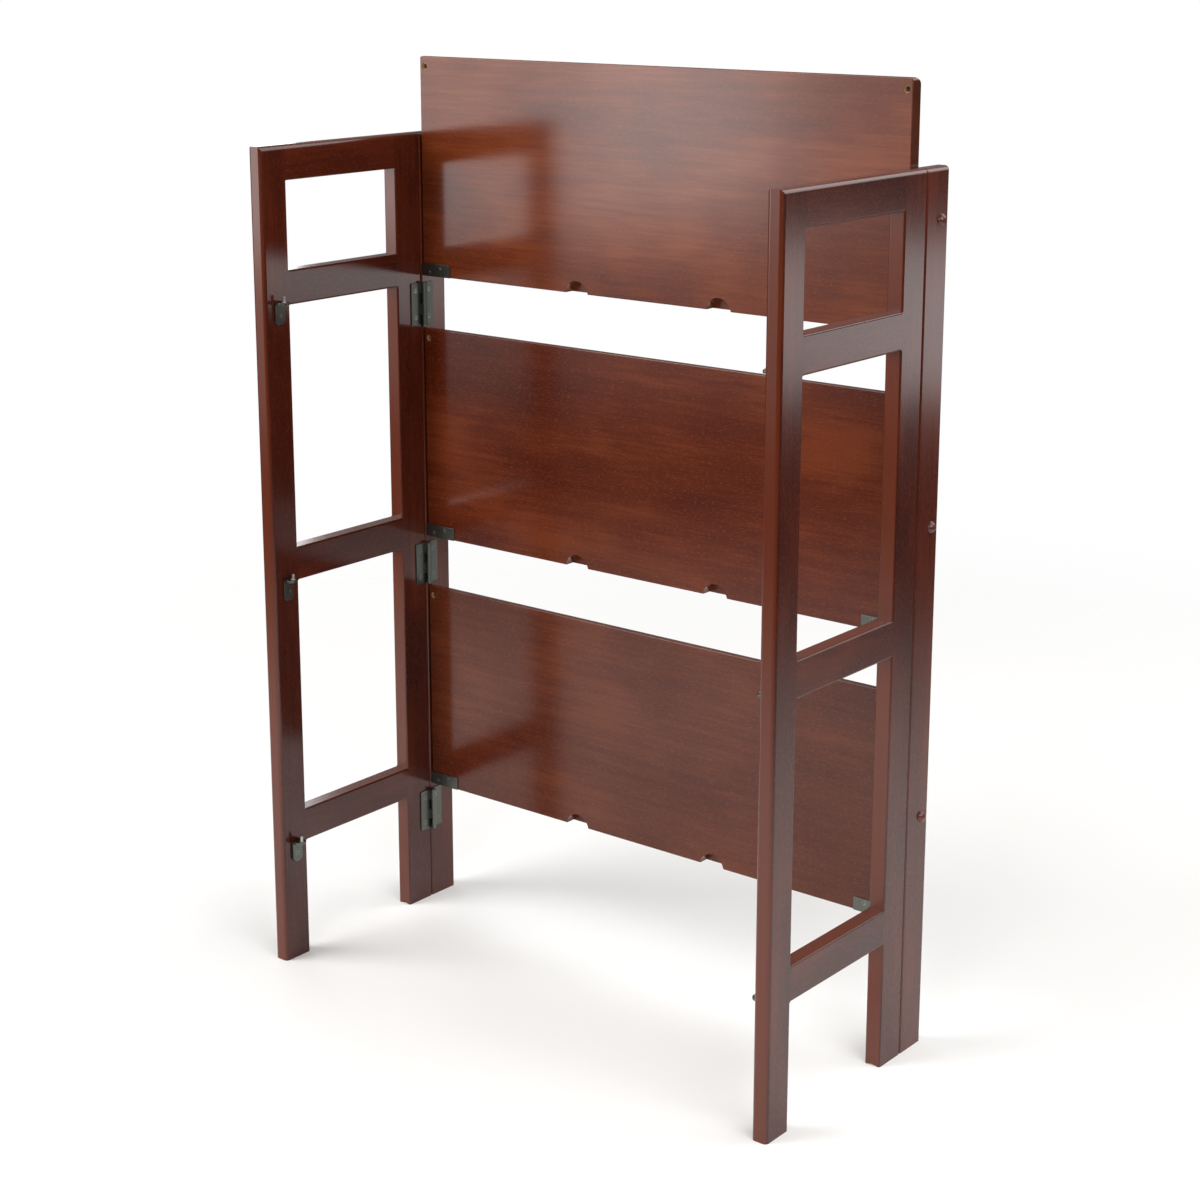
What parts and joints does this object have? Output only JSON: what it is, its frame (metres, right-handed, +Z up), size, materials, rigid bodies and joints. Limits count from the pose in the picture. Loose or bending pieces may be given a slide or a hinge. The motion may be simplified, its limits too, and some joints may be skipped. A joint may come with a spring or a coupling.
{
  "type": "folding shelf",
  "caption": "Free-standing wooden shelf with side frames that fold in on hinges and shelves that fold up against the back frame.",
  "frame": {"origin": "on the floor, under the middle of the opened shelf", "axes": "+X to the right seen from the front, +Y to the back, +Z up"},
  "size_m": [0.735, 0.301, 1.07],
  "materials": {
    "stained_wood": "solid wood, walnut stain under satin lacquer",
    "stained_veneer": "fine-grained veneer, walnut stain under satin lacquer",
    "blackened_steel": "pressed steel, blackened",
    "zinc_steel": "turned steel, zinc plated",
    "beech_dowel": "plain beech"
  },
  "bodies": {
    "back_frame": {"left_rear_post": "stained_wood", "right_rear_post": "stained_wood", "top_back_rail": "stained_wood", "middle_back_rail": "stained_wood", "bottom_back_rail": "stained_wood", "back_rail_dowels": "beech_dowel", "back_rail_screws": "zinc_steel", "screw_caps": "stained_wood", "left_hinge_post_leaves": "blackened_steel", "right_hinge_post_leaves": "blackened_steel", "left_hinge_post_screws": "blackened_steel", "right_hinge_post_screws": "blackened_steel", "left_hinge_pins": "blackened_steel", "right_hinge_pins": "blackened_steel"},
    "left_frame": {"left_front_stile": "stained_wood", "left_rear_stile": "stained_wood", "left_top_rail": "stained_wood", "left_upper_rail": "stained_wood", "left_middle_rail": "stained_wood", "left_lower_rail": "stained_wood", "left_frame_dowels": "beech_dowel", "left_hinge_frame_leaves": "blackened_steel", "left_hinge_frame_screws": "blackened_steel", "left_support_brackets": "blackened_steel", "left_support_pins": "zinc_steel", "left_support_screws": "blackened_steel"},
    "right_frame": {"right_front_stile": "stained_wood", "right_rear_stile": "stained_wood", "right_top_rail": "stained_wood", "right_upper_rail": "stained_wood", "right_middle_rail": "stained_wood", "right_lower_rail": "stained_wood", "right_frame_dowels": "beech_dowel", "right_hinge_frame_leaves": "blackened_steel", "right_hinge_frame_screws": "blackened_steel", "right_support_brackets": "blackened_steel", "right_support_pins": "zinc_steel", "right_support_screws": "blackened_steel"},
    "top_shelf": {"top_shelf_board": "stained_veneer", "top_shelf_brackets": "blackened_steel", "top_shelf_pivot_pins": "zinc_steel", "top_shelf_screws": "blackened_steel"},
    "middle_shelf": {"middle_shelf_board": "stained_veneer", "middle_shelf_brackets": "blackened_steel", "middle_shelf_pivot_pins": "zinc_steel", "middle_shelf_screws": "blackened_steel"},
    "bottom_shelf": {"bottom_shelf_board": "stained_veneer", "bottom_shelf_brackets": "blackened_steel", "bottom_shelf_pivot_pins": "zinc_steel", "bottom_shelf_screws": "blackened_steel"}
  },
  "joints": [
    {"name": "left_frame_fold", "type": "hinge", "parent": "back_frame", "child": "left_frame", "pos_m": [-0.3383, 0.108, 0.49], "axis": [0, 0, 1], "range_deg": [0, 90]},
    {"name": "right_frame_fold", "type": "hinge", "parent": "back_frame", "child": "right_frame", "pos_m": [0.3383, 0.108, 0.49], "axis": [0, 0, -1], "range_deg": [0, 90]},
    {"name": "top_shelf_fold", "type": "hinge", "parent": "back_frame", "child": "top_shelf", "pos_m": [0, 0.11715, 0.8115], "axis": [-1, 0, 0], "range_deg": [-90, 0]},
    {"name": "middle_shelf_fold", "type": "hinge", "parent": "back_frame", "child": "middle_shelf", "pos_m": [0, 0.11715, 0.485], "axis": [-1, 0, 0], "range_deg": [-90, 0]},
    {"name": "bottom_shelf_fold", "type": "hinge", "parent": "back_frame", "child": "bottom_shelf", "pos_m": [0, 0.11715, 0.1585], "axis": [-1, 0, 0], "range_deg": [-90, 0]}
  ]
}
